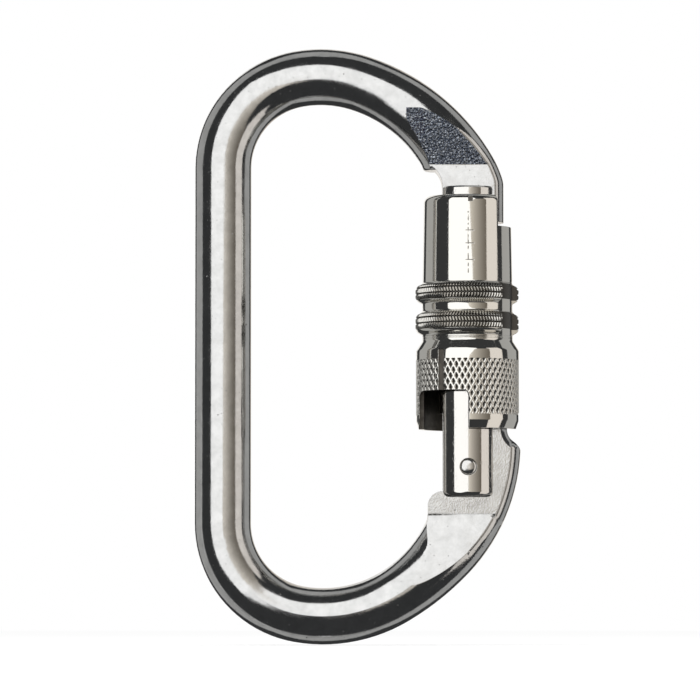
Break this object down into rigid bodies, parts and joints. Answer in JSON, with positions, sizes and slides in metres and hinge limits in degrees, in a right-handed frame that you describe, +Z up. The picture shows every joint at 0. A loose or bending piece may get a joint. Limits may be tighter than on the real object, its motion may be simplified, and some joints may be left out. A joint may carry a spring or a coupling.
{
  "type": "locking carabiner",
  "caption": "Steel D-shaped connector of round bar with an inward-opening gate on a rivet and a spring-loaded twist-locking sleeve with knurled beads and collar.",
  "frame": {"origin": "top of the opening: the middle of the inside of the top bend, where a sling or anchor bears", "axes": "+Z up the long way, from the lower bend to the top bend; +X from the spine towards the gate; -Y is the front, where the rivet head and the sleeve's window show"},
  "size_m": [0.0579, 0.0184, 0.1061],
  "materials": {
    "frame_steel": "forged steel, bright zinc plated over tumbled bar, rough on the pressed nose ramp",
    "gate_steel": "drawn bar, polished and bright plated",
    "sleeve_steel": "turned and knurled, bright plated",
    "rivet_steel": "upset and polished",
    "pin_steel": "ground",
    "spring_steel": "drawn spring wire"
  },
  "bodies": {
    "frame": {"body": "frame_steel"},
    "gate": {"gate": "gate_steel", "hinge_rivet": "rivet_steel", "latch_pin": "pin_steel", "gate_spring": "spring_steel", "sleeve_spring": "spring_steel", "spring_seat": "pin_steel", "sleeve_stop_pin": "pin_steel"},
    "sleeve": {"locking_sleeve": "sleeve_steel"},
    "plunger": {"gate_plunger": "pin_steel"}
  },
  "joints": [
    {"name": "gate_open", "type": "hinge", "parent": "frame", "child": "gate", "pos_m": [0.0259, 0, -0.0647], "axis": [0, -1, 0], "range_deg": [0, 32], "stiffness_Nm_per_rad": 0.4, "springref_deg": -28.65},
    {"name": "sleeve_twist", "type": "hinge", "parent": "gate", "child": "sleeve", "pos_m": [0.0259, 0, -0.0371], "axis": [0, 0, 1], "range_deg": [-90, 0], "stiffness_Nm_per_rad": 0.01, "springref_deg": 28.65},
    {"name": "plunger_slide", "type": "slide", "parent": "gate", "child": "plunger", "axis": [0, 0, 1], "range_m": [0, 0.0015], "stiffness_N_per_m": 6, "springref_m": -0.002, "deforming": ["gate_spring"]}
  ],
  "couplings": [
    {"joint": "sleeve_twist", "follows": "gate_open", "ratio": -2.8125},
    {"joint": "plunger_slide", "follows": "gate_open", "m_per_rad": 0.002664}
  ]
}
